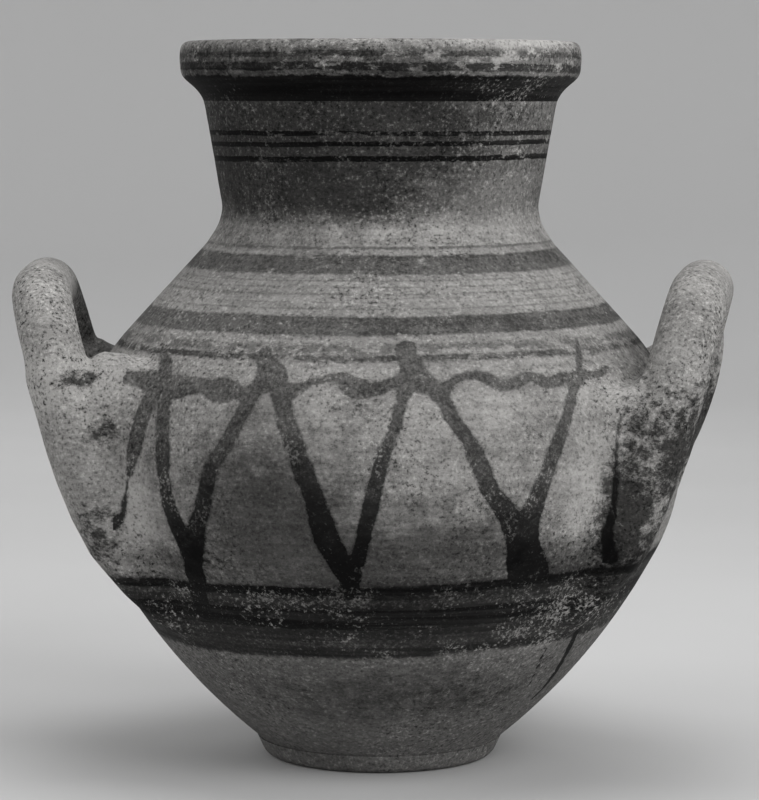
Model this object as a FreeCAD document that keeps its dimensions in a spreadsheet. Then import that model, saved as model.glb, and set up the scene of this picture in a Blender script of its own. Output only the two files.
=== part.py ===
import FreeCAD, Part

import math
import os

import Sketcher

# A wide-mouthed two-handled storage jar, made as a potter makes it: a foot disc,
# a wall raised in courses with bevelled joints, a thrown neck, a rim coil, luting
# coils in the corners and two rolled handles pressed onto the belly.
# Lengths are in millimetres and angles in degrees. +Z is up, the origin is the
# middle of the foot's underside, and the handles stand towards -X and +X.

Vector = FreeCAD.Vector
Rotation = FreeCAD.Rotation
Placement = FreeCAD.Placement

# Driving dimensions: one row of the sheet each
SIZES = [
    ("foot_radius", 76.0, "radius of the foot disc"),
    ("foot_height", 12.0, "thickness of the foot disc, which is the jar's floor"),
    ("foot_edge_round", 4.0, "rounding of the foot's lower edge"),
    ("foot_lap", 1.0, "how far the wall stands out past the foot"),
    ("belly_radius", 190.5, "largest outer radius of the wall"),
    ("belly_rise", 179.5, "height of the widest line above the foot disc"),
    ("shoulder_rise", 145.5, "height of the neck root above the widest line"),
    ("lower_sweep_radius", 380.0, "profile radius of the long lower wall"),
    ("belly_lower_radius", 125.0, "profile radius just below the widest line"),
    ("belly_upper_radius", 114.0, "profile radius just above the widest line"),
    ("wall_thickness", 9.0, "thickness of the body wall"),
    ("floor_wall_width", 13.0, "level width of the wall where it stands on the foot"),
    ("neck_root_radius", 98.2, "outer radius where shoulder and neck meet"),
    ("neck_thickness", 8.5, "level thickness of the neck wall"),
    ("neck_rise", 76.0, "height of the neck from its root to the rim coil"),
    ("neck_flare", 13.0, "how much wider the neck is at its top than at its root"),
    ("throat_drop", 4.0, "how far the inner throat lies below the neck root"),
    ("rim_rise", 37.0, "height of the rim coil"),
    ("rim_overhang", 15.4, "how far the rim stands out past the top of the neck"),
    ("rim_thickness", 14.6, "width of the rim at the mouth"),
    ("rim_batter", 1.2, "how far the rim's lower and upper edges stand back"),
    ("rim_fullest_share", 0.72, "height of the rim's fullest line against its rise"),
    ("under_rim_rise", 14.0, "height of the hollow curve under the rim"),
    ("under_rim_curve", 26.0, "profile radius of the hollow curve under the rim"),
    ("rim_round", 5.0, "rounding of the rim's outer edges"),
    ("lip_round", 4.0, "rounding of the rim's inner edge"),
    ("first_joint_share", 0.09, "lowest scarf joint, as a share of belly_rise"),
    ("second_joint_share", 0.485, "second scarf joint, as a share of belly_rise"),
    ("third_joint_share", 0.97, "third scarf joint, as a share of belly_rise"),
    ("top_joint_share", 0.4, "top scarf joint, as a share of shoulder_rise"),
    ("scarf_angle", 30.0, "slope of the scarf joints between courses"),
    ("neck_bevel_angle", 6.0, "slope of the neck's seat on the shoulder"),
    ("collar_down", 13.5, "length of the luting collar down the shoulder"),
    ("collar_up", 8.0, "length of the luting collar up the neck"),
    ("collar_edge", 1.0, "thickness of the collar at its two edges"),
    ("collar_curve", 26.0, "profile radius of the collar's hollow face"),
    ("collar_bite_share", 0.5, "how far the collar's blank reaches into the neck wall"),
    ("floor_coil_width", 11.0, "reach of the luting coil in the corner at the floor"),
    ("coil_hollow_share", 1.6, "profile radius of that coil's face against its reach"),
    ("coil_diameter", 37.0, "thickness of the rolled handle"),
    ("handle_span", 164.0, "distance between the middles of a handle's two arms"),
    ("handle_corner", 50.0, "bend radius of the handle's two upper corners"),
    ("handle_rise", 122.5, "top of the handle above the widest line"),
    ("handle_lean", 14.5, "outward lean of the handle's loop"),
    ("handle_swing", 5.7, "how far both handles sit forward of the middle line"),
    ("left_stand", 39.0, "reach of the left handle past the belly"),
    ("right_stand", 31.0, "reach of the right handle past the belly"),
    ("arm_length", 88.0, "length of an arm below the top of the loop"),
    ("lug_length", 150.0, "length of a flattened handle root"),
    ("lug_width", 58.0, "width of a flattened handle root along the wall"),
    ("lug_depth", 47.0, "thickness of a flattened handle root"),
    ("lug_drop", 124.0, "middle of the root below the top of the loop"),
    ("lug_inset", 7.2, "how far the root's middle is set in from the loop's plane"),
    ("lug_lean", 9.5, "extra lean of the root against the loop"),
    ("wad_height", 72.0, "height of the clay wad in a handle's crook"),
    ("wad_width", 46.0, "width of the wad along the wall"),
    ("wad_depth", 56.0, "depth of the wad between wall and arm"),
    ("wad_inset", 64.0, "middle of the wad, in from the handle's outer face"),
    ("wad_rise", 36.0, "middle of the wad above the widest line"),
    ("hollow_radius", 18.0, "radius of the finger stroke that smoothed the wad"),
    ("saddle_rise", 60.0, "bottom of the finger stroke above the widest line"),
    ("high_saddle_rise", 70.0, "the same at the left handle's front arm"),
    ("overrun", 10.0, "how far cutting shapes run past what they cut"),
]

doc = FreeCAD.newDocument("storage_jar")
sheet = doc.addObject("Spreadsheet::Sheet", "sizes")
for row, (name, number, meaning) in enumerate(SIZES, start=1):
    sheet.set("A%d" % row, name)
    sheet.set("B%d" % row, "%g" % number)
    sheet.set("C%d" % row, meaning)
    sheet.setAlias("B%d" % row, name)
doc.recompute()


class Size:
    """A size with its number now and the sheet expression that keeps it bound."""

    def __init__(self, text, number):
        self.text = text
        self.number = number

    def __add__(self, other):
        other = as_size(other)
        return Size("(%s + %s)" % (self.text, other.text), self.number + other.number)

    def __sub__(self, other):
        other = as_size(other)
        return Size("(%s - %s)" % (self.text, other.text), self.number - other.number)

    def __mul__(self, other):
        other = as_size(other)
        return Size("(%s * %s)" % (self.text, other.text), self.number * other.number)

    def __truediv__(self, other):
        other = as_size(other)
        return Size("(%s / %s)" % (self.text, other.text), self.number / other.number)

    def __neg__(self):
        return Size("(-1 * %s)" % self.text, -self.number)


def as_size(value):
    return value if isinstance(value, Size) else Size("%g" % value, float(value))


def size(name):
    return Size("sizes." + name, float(sheet.get(name)))


def sine(angle):
    return Size("sin(%s)" % angle.text, math.sin(math.radians(angle.number)))


def cosine(angle):
    return Size("cos(%s)" % angle.text, math.cos(math.radians(angle.number)))


def tangent(angle):
    return Size("tan(%s)" % angle.text, math.tan(math.radians(angle.number)))


ZERO = Size("0", 0.0)
QUARTER_TURN = as_size(90)
HALF_TURN = as_size(180)

# Levels and radii that several pieces share
foot_top = size("foot_height")
belly_level = foot_top + size("belly_rise")
root_level = belly_level + size("shoulder_rise")
rim_level = root_level + size("neck_rise")
jar_top = rim_level + size("rim_rise")
belly_radius = size("belly_radius")
root_radius = size("neck_root_radius")
neck_top_radius = root_radius + size("neck_flare")
rim_radius = neck_top_radius + size("rim_overhang")
wall_foot_radius = size("foot_radius") + size("foot_lap")
floor_radius = wall_foot_radius - size("floor_wall_width")


def origin_plane(body, role):
    for feature in body.Origin.OriginFeatures:
        if feature.Role == role:
            return feature


def new_sketch(body, name, role):
    """A sketch flat on one of the body's own origin planes."""
    sketch = body.newObject("Sketcher::SketchObject", name)
    sketch.AttachmentSupport = [(origin_plane(body, role), "")]
    sketch.MapMode = "FlatFace"
    return sketch


def bind(sketch, label, target, *constraint):
    """Adds a dimension and ties it to the sheet."""
    index = sketch.addConstraint(Sketcher.Constraint(*constraint, target.number))
    sketch.renameConstraint(index, label)
    sketch.setExpression("Constraints." + label, target.text)


def pin_point(sketch, label, edge, end, across, up):
    """Holds one end of an edge at a distance across and up from the origin."""
    for kind, target, axis in (("DistanceX", across, "across"), ("DistanceY", up, "up")):
        if target is ZERO:
            on_axis = -2 if kind == "DistanceX" else -1
            sketch.addConstraint(Sketcher.Constraint("PointOnObject", edge, end, on_axis))
        else:
            bind(sketch, label + "_" + axis, target, kind, -1, 1, edge, end)


def place_along(feature, path, base, axis, angle):
    """Ties a placement to the sheet: its base point and its turn about an axis."""
    setattr(feature, path, Placement(
        Vector(*[part.number for part in base]), Rotation(axis, angle.number)))
    for letter, part in zip("xyz", base):
        feature.setExpression("%s.Base.%s" % (path, letter), part.text)
    feature.setExpression(path + ".Rotation.Angle", angle.text)


def revolve(body, sketch):
    feature = body.newObject("PartDesign::Revolution", body.Name + "_turned")
    feature.Profile = sketch
    feature.ReferenceAxis = (sketch, ["V_Axis"])
    feature.Angle = 360
    doc.recompute()
    return feature


def turned_polygon(name, corners, curves=()):
    """A body turned on the jar's axis from corners (radius, level).

    curves maps the number of an edge to the profile radius of its hollow curve.
    """
    body = doc.addObject("PartDesign::Body", name)
    sketch = new_sketch(body, name + "_profile", "XZ_Plane")
    curves = dict(curves)
    count = len(corners)
    points = [Vector(across.number, up.number, 0) for across, up in corners]
    for edge in range(count):
        start, end = points[edge], points[(edge + 1) % count]
        if edge in curves:
            sketch.addGeometry(hollow_arc(start, end, curves[edge].number), False)
        else:
            sketch.addGeometry(Part.LineSegment(start, end), False)
    for edge in range(count):
        following = (edge + 1) % count
        # A hollow arc runs the other way round, so its ends are swapped.
        last = 1 if edge in curves else 2
        first = 2 if following in curves else 1
        sketch.addConstraint(Sketcher.Constraint("Coincident", edge, last, following, first))
    for edge, (across, up) in enumerate(corners):
        # The corner is the edge's start, which on a swapped arc is its end.
        first = 2 if edge in curves else 1
        pin_point(sketch, "corner%d" % edge, edge, first, across, up)
    for edge, radius in curves.items():
        bind(sketch, "curve%d" % edge, radius, "Radius", edge)
    doc.recompute()
    revolve(body, sketch)
    return body


def hollow_arc(start, end, radius):
    """The short arc from end back to start that bows to the left of start-end."""
    chord = end - start
    middle = (start + end) * 0.5
    height = math.sqrt(radius ** 2 - (chord.Length / 2) ** 2)
    across = Vector(chord.y, -chord.x, 0).normalize()
    centre = middle + across * height
    first = math.atan2(end.y - centre.y, end.x - centre.x)
    last = math.atan2(start.y - centre.y, start.x - centre.x)
    if last < first:
        last += 2 * math.pi
    return Part.ArcOfCircle(Part.Circle(centre, Vector(0, 0, 1), radius), first, last)


def tangent_wall(foot, belly, lower, belly_lower, belly_upper, root):
    """Arc centres and joints of a wall profile, as numbers to start the sketch from."""
    low_centre = Vector(belly.x - belly_lower, belly.y, 0)
    to_foot = foot - low_centre
    gap = lower - belly_lower
    turn = math.acos((gap ** 2 + to_foot.Length ** 2 - lower ** 2) / (2 * gap * to_foot.Length))
    inward = Vector(to_foot).normalize()
    back = Vector(inward.x * math.cos(turn) + inward.y * math.sin(turn),
                  inward.y * math.cos(turn) - inward.x * math.sin(turn), 0)
    sweep_centre = low_centre + back * gap
    joint = low_centre - back * belly_lower
    up_centre = Vector(belly.x - belly_upper, belly.y, 0)
    to_root = root - up_centre
    swing = math.atan2(to_root.y, to_root.x) - math.acos(belly_upper / to_root.Length)
    leave = up_centre + Vector(math.cos(swing), math.sin(swing), 0) * belly_upper
    return low_centre, sweep_centre, joint, up_centre, leave


def arc_between(centre, radius, start, end):
    first = math.atan2(start.y - centre.y, start.x - centre.x)
    last = math.atan2(end.y - centre.y, end.x - centre.x)
    return Part.ArcOfCircle(Part.Circle(centre, Vector(0, 0, 1), radius), first, last)


def jar_form(name, foot_radius, belly, inset, root, top):
    """A solid of the jar's outer or inner form, from the foot disc to the rim coil.

    The profile is a long sweep, two tangent belly arcs that meet upright at the
    widest line, a straight shoulder tangent to the upper arc, and the neck cone.
    """
    body = doc.addObject("PartDesign::Body", name)
    sketch = new_sketch(body, name + "_profile", "XZ_Plane")
    lower = size("lower_sweep_radius") - inset
    belly_lower = size("belly_lower_radius") - inset
    belly_upper = size("belly_upper_radius") - inset

    def point(pair):
        return Vector(pair[0].number, pair[1].number, 0)

    foot = (foot_radius, foot_top)
    low_centre, sweep_centre, joint, up_centre, leave = tangent_wall(
        point(foot), point(belly), lower.number, belly_lower.number,
        belly_upper.number, point(root))
    floor_middle = Vector(0, foot_top.number, 0)
    top_middle = Vector(0, top[1].number, 0)
    edges = [
        Part.LineSegment(floor_middle, point(foot)),
        arc_between(sweep_centre, lower.number, point(foot), joint),
        arc_between(low_centre, belly_lower.number, joint, point(belly)),
        arc_between(up_centre, belly_upper.number, point(belly), leave),
        Part.LineSegment(leave, point(root)),
        Part.LineSegment(point(root), point(top)),
        Part.LineSegment(point(top), top_middle),
        Part.LineSegment(top_middle, floor_middle),
    ]
    sketch.addGeometry(edges, False)
    floor, sweep, low_belly, high_belly, shoulder, neck, lid, axis = range(len(edges))
    start, end, middle = 1, 2, 3
    for first, second in ((floor, sweep), (low_belly, high_belly), (shoulder, neck),
                          (neck, lid), (lid, axis), (axis, floor)):
        sketch.addConstraint(Sketcher.Constraint("Coincident", first, end, second, start))
    for first, second in ((sweep, low_belly), (high_belly, shoulder)):
        sketch.addConstraint(Sketcher.Constraint("Tangent", first, end, second, start))
    for arc, tip in ((low_belly, end), (high_belly, start)):
        sketch.addConstraint(Sketcher.Constraint("Horizontal", arc, middle, arc, tip))
    for edge in (floor, lid):
        sketch.addConstraint(Sketcher.Constraint("Horizontal", edge))
    sketch.addConstraint(Sketcher.Constraint("Vertical", axis))
    sketch.addConstraint(Sketcher.Constraint("PointOnObject", axis, start, -2))
    pin_point(sketch, "foot", sweep, start, *foot)
    pin_point(sketch, "belly", low_belly, end, *belly)
    pin_point(sketch, "root", neck, start, *root)
    pin_point(sketch, "top", neck, end, *top)
    bind(sketch, "lower_sweep", lower, "Radius", sweep)
    bind(sketch, "belly_lower", belly_lower, "Radius", low_belly)
    bind(sketch, "belly_upper", belly_upper, "Radius", high_belly)
    # The shoulder's slope follows from the arc, so it is only read from here.
    fall = point(root) - leave
    slope = sketch.addConstraint(Sketcher.Constraint(
        "Angle", -2, start, shoulder, start, math.atan2(-fall.x, fall.y)))
    sketch.setDriving(slope, False)
    sketch.renameConstraint(slope, "shoulder_lean")
    doc.recompute()
    revolve(body, sketch)
    return body, sketch


def boolean(kind, name, base, tool):
    """A Part::Cut or Part::Common of two objects."""
    result = doc.addObject("Part::" + kind, name)
    result.Base = base
    result.Tool = tool
    return result


# The outer form and the cavity, both as solids
outer_form, outer_profile = jar_form(
    "outer_form", wall_foot_radius, (belly_radius, belly_level), ZERO,
    (root_radius, root_level), (neck_top_radius, rim_level))
cavity_form, cavity_profile = jar_form(
    "cavity_form", floor_radius, (belly_radius - size("wall_thickness"), belly_level),
    size("wall_thickness"),
    (root_radius - size("neck_thickness"), root_level - size("throat_drop")),
    (neck_top_radius - size("neck_thickness"), rim_level))
wall = boolean("Cut", "whole_wall", outer_form, cavity_form)


def below_joint(name, radius, level, angle):
    """Everything below a bevelled joint, which rises towards the axis from a place."""
    reach = belly_radius + size("overrun")
    edge_level = level - (reach - radius) * tangent(angle)
    return turned_polygon(name, [
        (ZERO, ZERO), (reach, ZERO), (reach, edge_level),
        (ZERO, edge_level + reach * tangent(angle))])


def course(name, below_top, below_foot):
    """The ring of wall between two joints."""
    return boolean("Cut", name, boolean("Common", name + "_blank", wall, below_top), below_foot)


# The courses of the wall: each is the ring of wall between two bevelled joints.
# A joint is placed where the slanting cone crosses the belly's radius.
scarf = size("scarf_angle")
bevel = size("neck_bevel_angle")
below_first = below_joint(
    "below_first", belly_radius, foot_top + size("belly_rise") * size("first_joint_share"), scarf)
below_second = below_joint(
    "below_second", belly_radius, foot_top + size("belly_rise") * size("second_joint_share"), scarf)
below_third = below_joint(
    "below_third", belly_radius, foot_top + size("belly_rise") * size("third_joint_share"), scarf)
below_top_joint = below_joint(
    "below_top_joint", belly_radius,
    belly_level + size("shoulder_rise") * size("top_joint_share"), scarf)
below_neck = below_joint("below_neck", root_radius, root_level, bevel)

lower_wall = boolean("Common", "lower_wall", wall, below_first)
rising_wall = course("rising_wall", below_second, below_first)
lower_belly_wall = course("lower_belly_wall", below_third, below_second)
upper_belly_wall = course("upper_belly_wall", below_top_joint, below_third)
shoulder_wall = course("shoulder_wall", below_neck, below_top_joint)
neck_wall = boolean("Cut", "neck_wall", wall, below_neck)


def round_edges(body, name, places, radius):
    """A fillet on the tip's round edges that run through the given (radius, level) places."""
    base = body.Tip
    names = []
    for number, edge in enumerate(base.Shape.Edges, start=1):
        for across, up in places:
            on_edge = edge.distToShape(Part.Vertex(across.number, 0, up.number))[0]
            if isinstance(edge.Curve, Part.Circle) and on_edge < Part.Precision.confusion():
                names.append("Edge%d" % number)
    fillet = body.newObject("PartDesign::Fillet", name)
    fillet.Base = (base, names)
    fillet.Radius = radius.number
    fillet.setExpression("Radius", radius.text)
    doc.recompute()


# The foot: a thick disc with a rounded lower edge
base_disc = turned_polygon("base_disc", [
    (ZERO, ZERO), (size("foot_radius"), ZERO), (size("foot_radius"), foot_top),
    (ZERO, foot_top)])
round_edges(base_disc, "foot_edge", [(size("foot_radius"), ZERO)], size("foot_edge_round"))

# The luting coil pressed into the corner between floor and wall
coil_reach = size("floor_coil_width")
floor_coil_blank = turned_polygon("floor_coil_blank", [
    (floor_radius - coil_reach, foot_top), (wall_foot_radius, foot_top),
    (wall_foot_radius, foot_top + coil_reach), (floor_radius, foot_top + coil_reach)],
    curves={3: coil_reach * size("coil_hollow_share")})
floor_coil = boolean("Common", "floor_coil", floor_coil_blank, cavity_form)

# The luting collar over the joint of shoulder and neck, with a hollow face.
# It reaches along the shoulder's slope, which the wall's own profile gives.
shoulder_lean = Size("outer_form_profile.Constraints.shoulder_lean",
                     outer_profile.getDatum("shoulder_lean").Value)
neck_slope = size("neck_flare") / size("neck_rise")
edge_across = size("collar_edge") * cosine(shoulder_lean)
edge_up = size("collar_edge") * sine(shoulder_lean)
low_across = root_radius + size("collar_down") * sine(shoulder_lean)
low_level = root_level - size("collar_down") * cosine(shoulder_lean)
high_across = root_radius + size("collar_up") * neck_slope
high_level = root_level + size("collar_up")
collar_blank = turned_polygon("collar_blank", [
    (root_radius - size("neck_thickness") * size("collar_bite_share"), root_level),
    (low_across - edge_across, low_level - edge_up),
    (low_across + edge_across, low_level + edge_up),
    (high_across + size("collar_edge"), high_level),
    (high_across - size("collar_edge"), high_level)],
    curves={2: size("collar_curve")})
neck_collar = boolean("Cut", "neck_collar", collar_blank, outer_form)

# The rim: a thick coil with a hollow curve below and rounded edges
rim_low_edge = (rim_radius - size("rim_batter"), rim_level + size("under_rim_rise"))
rim_high_edge = (rim_radius - size("rim_batter"), jar_top)
mouth_edge = (rim_radius - size("rim_thickness"), jar_top)
rim_coil = turned_polygon("rim_coil", [
    (neck_top_radius - size("neck_thickness"), rim_level), (neck_top_radius, rim_level),
    rim_low_edge, (rim_radius, rim_level + size("rim_rise") * size("rim_fullest_share")),
    rim_high_edge, mouth_edge], curves={1: size("under_rim_curve")})
round_edges(rim_coil, "rim_edges", [rim_low_edge, rim_high_edge], size("rim_round"))
round_edges(rim_coil, "lip_edge", [mouth_edge], size("lip_round"))

# The handles. Each loop is drawn upright about the middle of its top, leant
# outwards as a whole and set out from the belly; its roots are flattened lugs.
half_span = size("handle_span") / 2
coil_radius = size("coil_diameter") / 2


def loop_path(body):
    """The middle line of a loop: two arms, two bent corners and a level top."""
    sketch = new_sketch(body, body.Name + "_path", "YZ_Plane")
    half, length = half_span.number, size("arm_length").number
    corner = size("handle_corner").number
    quarter = math.pi / 2
    left_middle = Vector(corner - half, -corner, 0)
    right_middle = Vector(half - corner, -corner, 0)
    sketch.addGeometry([
        Part.LineSegment(Vector(-half, -length, 0), Vector(-half, -corner, 0)),
        Part.ArcOfCircle(Part.Circle(left_middle, Vector(0, 0, 1), corner), quarter, 2 * quarter),
        Part.LineSegment(Vector(corner - half, 0, 0), Vector(half - corner, 0, 0)),
        Part.ArcOfCircle(Part.Circle(right_middle, Vector(0, 0, 1), corner), 0, quarter),
        Part.LineSegment(Vector(half, -corner, 0), Vector(half, -length, 0)),
    ], False)
    front_arm, front_bend, top, back_bend, back_arm = range(5)
    start, end = 1, 2
    for first, tip, second, tail in (
            (front_arm, end, front_bend, end), (front_bend, start, top, start),
            (top, end, back_bend, end), (back_bend, start, back_arm, start)):
        sketch.addConstraint(Sketcher.Constraint("Tangent", first, tip, second, tail))
    sketch.addConstraint(Sketcher.Constraint("Horizontal", top))
    sketch.addConstraint(Sketcher.Constraint("PointOnObject", top, start, -1))
    for arm in (front_arm, back_arm):
        sketch.addConstraint(Sketcher.Constraint("Vertical", arm))
    for label, bend in (("front_bend", front_bend), ("back_bend", back_bend)):
        bind(sketch, label, size("handle_corner"), "Radius", bend)
    pin_point(sketch, "front_foot", front_arm, start, -half_span, -size("arm_length"))
    pin_point(sketch, "back_foot", back_arm, end, half_span, -size("arm_length"))
    return sketch


def handle_loop(name, stand):
    """A rolled coil bent into a loop, with a flattened lug at the foot of each arm."""
    body = doc.addObject("PartDesign::Body", name)
    path = loop_path(body)
    section = new_sketch(body, name + "_section", "XY_Plane")
    place_along(section, "AttachmentOffset", (ZERO, -half_span, -size("arm_length")),
                Vector(0, 0, 1), ZERO)
    section.addGeometry(Part.Circle(Vector(0, 0, 0), Vector(0, 0, 1), coil_radius.number), False)
    section.addConstraint(Sketcher.Constraint("Coincident", 0, 3, -1, 1))
    bind(section, "coil", coil_radius, "Radius", 0)
    doc.recompute()
    coil = body.newObject("PartDesign::AdditivePipe", name + "_coil")
    coil.Profile = section
    coil.Spine = (path, [])
    doc.recompute()
    for end, side in (("front", -half_span), ("back", half_span)):
        lug = body.newObject("PartDesign::AdditiveEllipsoid", "%s_%s_lug" % (name, end))
        lug.AttachmentSupport = [(origin_plane(body, "XY_Plane"), "")]
        lug.MapMode = "FlatFace"
        place_along(lug, "AttachmentOffset", (-size("lug_inset"), side, -size("lug_drop")),
                    Vector(0, 1, 0), size("lug_lean"))
        for radius, extent in (("Radius1", "lug_length"), ("Radius2", "lug_depth"),
                               ("Radius3", "lug_width")):
            half = size(extent) / 2
            setattr(lug, radius, half.number)
            lug.setExpression(radius, half.text)
        doc.recompute()
    place_along(body, "Placement",
                (belly_radius + stand - coil_radius, ZERO,
                 belly_level + size("handle_rise") - coil_radius),
                Vector(0, 1, 0), size("handle_lean"))
    doc.recompute()
    return body


def crook_wad(name, loop, stand, side, saddle_rise):
    """A clay wad in the crook of one arm, hollowed by a finger stroke along the wall."""
    across = belly_radius + stand - size("wad_inset")
    blank = doc.addObject("Part::Ellipsoid", name + "_blank")
    for radius, extent in (("Radius1", "wad_height"), ("Radius2", "wad_depth"),
                           ("Radius3", "wad_width")):
        half = size(extent) / 2
        setattr(blank, radius, half.number)
        blank.setExpression(radius, half.text)
    place_along(blank, "Placement", (across, side, belly_level + size("wad_rise")),
                Vector(0, 0, 1), ZERO)
    stroke = doc.addObject("Part::Cylinder", name + "_stroke")
    stroke.Radius = size("hollow_radius").number
    stroke.setExpression("Radius", size("hollow_radius").text)
    length = size("wad_width") + size("overrun") * 2
    stroke.Height = length.number
    stroke.setExpression("Height", length.text)
    place_along(stroke, "Placement",
                (across, side + length / 2, belly_level + saddle_rise + size("hollow_radius")),
                Vector(1, 0, 0), QUARTER_TURN)
    seated = boolean("Cut", name + "_on_wall", blank, outer_form)
    fitted = boolean("Cut", name + "_on_arm", seated, loop)
    return boolean("Cut", name, fitted, stroke)


# Each handle and its wads are made over the +X axis, seated on the wall, and
# then turned about the jar's axis to their place.
left_loop = handle_loop("left_loop", size("left_stand"))
right_loop = handle_loop("right_loop", size("right_stand"))
handle_left = boolean("Cut", "handle_left", left_loop, outer_form)
handle_right = boolean("Cut", "handle_right", right_loop, outer_form)
low, high = size("saddle_rise"), size("high_saddle_rise")
left_front_wad = crook_wad("left_front_wad", left_loop, size("left_stand"), half_span, high)
left_back_wad = crook_wad("left_back_wad", left_loop, size("left_stand"), -half_span, low)
right_front_wad = crook_wad("right_front_wad", right_loop, size("right_stand"), -half_span, low)
right_back_wad = crook_wad("right_back_wad", right_loop, size("right_stand"), half_span, low)
doc.recompute()
swing = size("handle_swing")
for piece in (handle_left, left_front_wad, left_back_wad):
    place_along(piece, "Placement", (ZERO, ZERO, ZERO), Vector(0, 0, 1), HALF_TURN + swing)
for piece in (handle_right, right_front_wad, right_back_wad):
    place_along(piece, "Placement", (ZERO, ZERO, ZERO), Vector(0, 0, -1), swing)
doc.recompute()

PIECES = [base_disc, floor_coil, lower_wall, rising_wall, lower_belly_wall,
          upper_belly_wall, shoulder_wall, neck_collar, neck_wall, rim_coil,
          handle_left, left_front_wad, left_back_wad,
          handle_right, right_front_wad, right_back_wad]

for item in doc.Objects:
    if "Invalid" in item.State or "Error" in item.State:
        raise RuntimeError("%s failed: %s" % (item.Name, item.State))
for piece in PIECES:
    shape = piece.Shape
    if shape.isNull() or not shape.isValid() or shape.Volume <= 0:
        raise RuntimeError("%s has no valid solid" % piece.Label)
    if len(shape.Solids) != 1:
        raise RuntimeError("%s is %d solids" % (piece.Label, len(shape.Solids)))

os.makedirs("parts", exist_ok=True)
for piece in PIECES:
    piece.Shape.exportStep(os.path.join("parts", piece.Label + ".step"))
    box = piece.Shape.BoundBox
    print("%-16s %9.0f mm3  x %7.1f %7.1f  y %7.1f %7.1f  z %6.1f %6.1f" % (
        piece.Label, piece.Shape.Volume, box.XMin, box.XMax, box.YMin, box.YMax,
        box.ZMin, box.ZMax))
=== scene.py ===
# %% [markdown]
# # A painted two-handled storage jar
# The jar is a big hand-made clay vessel with a wide mouth, a round belly, a small
# disc foot and two upright loop handles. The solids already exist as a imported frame,
# so this lesson gives them their hand-made surface, their clay and their brush paint.
# The frame is loaded first, and every size that follows is measured from it.

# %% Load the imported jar
import math

import bpy
import numpy as np
from mathutils import Matrix, Vector, noise


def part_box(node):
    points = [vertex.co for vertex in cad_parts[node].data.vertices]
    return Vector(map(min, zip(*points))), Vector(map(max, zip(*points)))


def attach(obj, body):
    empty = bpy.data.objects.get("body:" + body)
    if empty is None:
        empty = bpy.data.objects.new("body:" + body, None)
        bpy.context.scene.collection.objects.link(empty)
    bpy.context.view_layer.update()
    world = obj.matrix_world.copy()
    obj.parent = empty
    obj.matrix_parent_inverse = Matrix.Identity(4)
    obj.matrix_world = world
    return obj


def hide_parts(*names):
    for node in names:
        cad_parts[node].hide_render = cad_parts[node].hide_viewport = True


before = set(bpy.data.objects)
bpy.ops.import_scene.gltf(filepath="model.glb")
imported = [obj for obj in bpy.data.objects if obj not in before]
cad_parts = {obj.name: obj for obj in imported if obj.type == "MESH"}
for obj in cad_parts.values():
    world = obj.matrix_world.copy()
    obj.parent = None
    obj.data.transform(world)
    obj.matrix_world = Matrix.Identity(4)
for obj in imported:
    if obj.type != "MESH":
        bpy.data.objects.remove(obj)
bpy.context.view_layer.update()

MM = 0.001

# %% [markdown]
# ## Measuring the wall
# A turned pot is known by its outline: one radius for each height. A ray shot at the
# axis from outside finds the outer radius, and a ray from the axis finds the cavity.
# The readings are one millimetre apart and are softened a little, because the tool
# that turned the solid leaves small corners that wet clay doesn't have.

# %% Measure the outline of the wall courses
BODY_COURSES = ["lower_wall", "rising_wall", "lower_belly_wall", "upper_belly_wall",
                "shoulder_wall"]
COURSES = BODY_COURSES + ["neck_collar", "neck_wall", "rim_coil"]
foot_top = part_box("base_disc")[1].z
foot_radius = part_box("base_disc")[1].x
neck_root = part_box("neck_wall")[0].z
rim_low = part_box("rim_coil")[0].z
jar_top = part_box("rim_coil")[1].z
rim_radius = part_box("rim_coil")[1].x
STEP = 1 * MM
TOP_MARGIN = 5 * MM
RAY_START = 0.5
RAY_SIDESTEP = 0.0004
SOFTNESS = 2.5 * MM
levels = np.arange(foot_top + STEP / 2, jar_top - TOP_MARGIN, STEP)


def ray_radius(level, outward):
    """The wall's radius at a level, seen from the axis or from outside, a hair beside x."""
    start = Vector((0.0, 0.0, level)) if outward else Vector((RAY_START, RAY_SIDESTEP, level))
    aim = Vector((1.0, RAY_SIDESTEP, 0.0)) if outward else Vector((-1.0, 0.0, 0.0))
    hits = []
    for name in COURSES:
        found, place, _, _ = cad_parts[name].ray_cast(start, aim.normalized())
        if found:
            hits.append(place.xy.length)
    return min(hits) if outward else max(hits)


def soften(values, reach):
    """A running average with a smooth window, which keeps both ends in place."""
    half = int(round(2 * reach / STEP))
    window = np.exp(-0.5 * (np.arange(-half, half + 1) * STEP / reach) ** 2)
    padded = np.concatenate([2 * values[0] - values[half:0:-1], values,
                             2 * values[-1] - values[-2:-half - 2:-1]])
    return np.convolve(padded, window / window.sum(), "valid")


outer_radii = soften(np.array([ray_radius(z, False) for z in levels]), SOFTNESS)
inner_radii = soften(np.array([ray_radius(z, True) for z in levels]), SOFTNESS)
slope_lengths = np.hypot(np.gradient(outer_radii), STEP)
along_wall = np.concatenate([[0.0], np.cumsum(slope_lengths)[:-1]])


def outer(level):
    return float(np.interp(level, levels, outer_radii))


def inner(level):
    return float(np.interp(level, levels, inner_radii))


BELLY_LEVEL = 192 * MM
RIM_DEPTH = 20 * MM
print("outer radius at the belly, throat and rim, mm:",
      [round(outer(z) / MM, 1) for z in (BELLY_LEVEL, neck_root, jar_top - RIM_DEPTH)])

# %% [markdown]
# ## The camera
# The photograph looks almost level at the jar from a few steps away, a little above
# the middle and slightly to the right of the front. A long lens keeps the sides of
# the jar nearly parallel, as they are in the picture.

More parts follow.
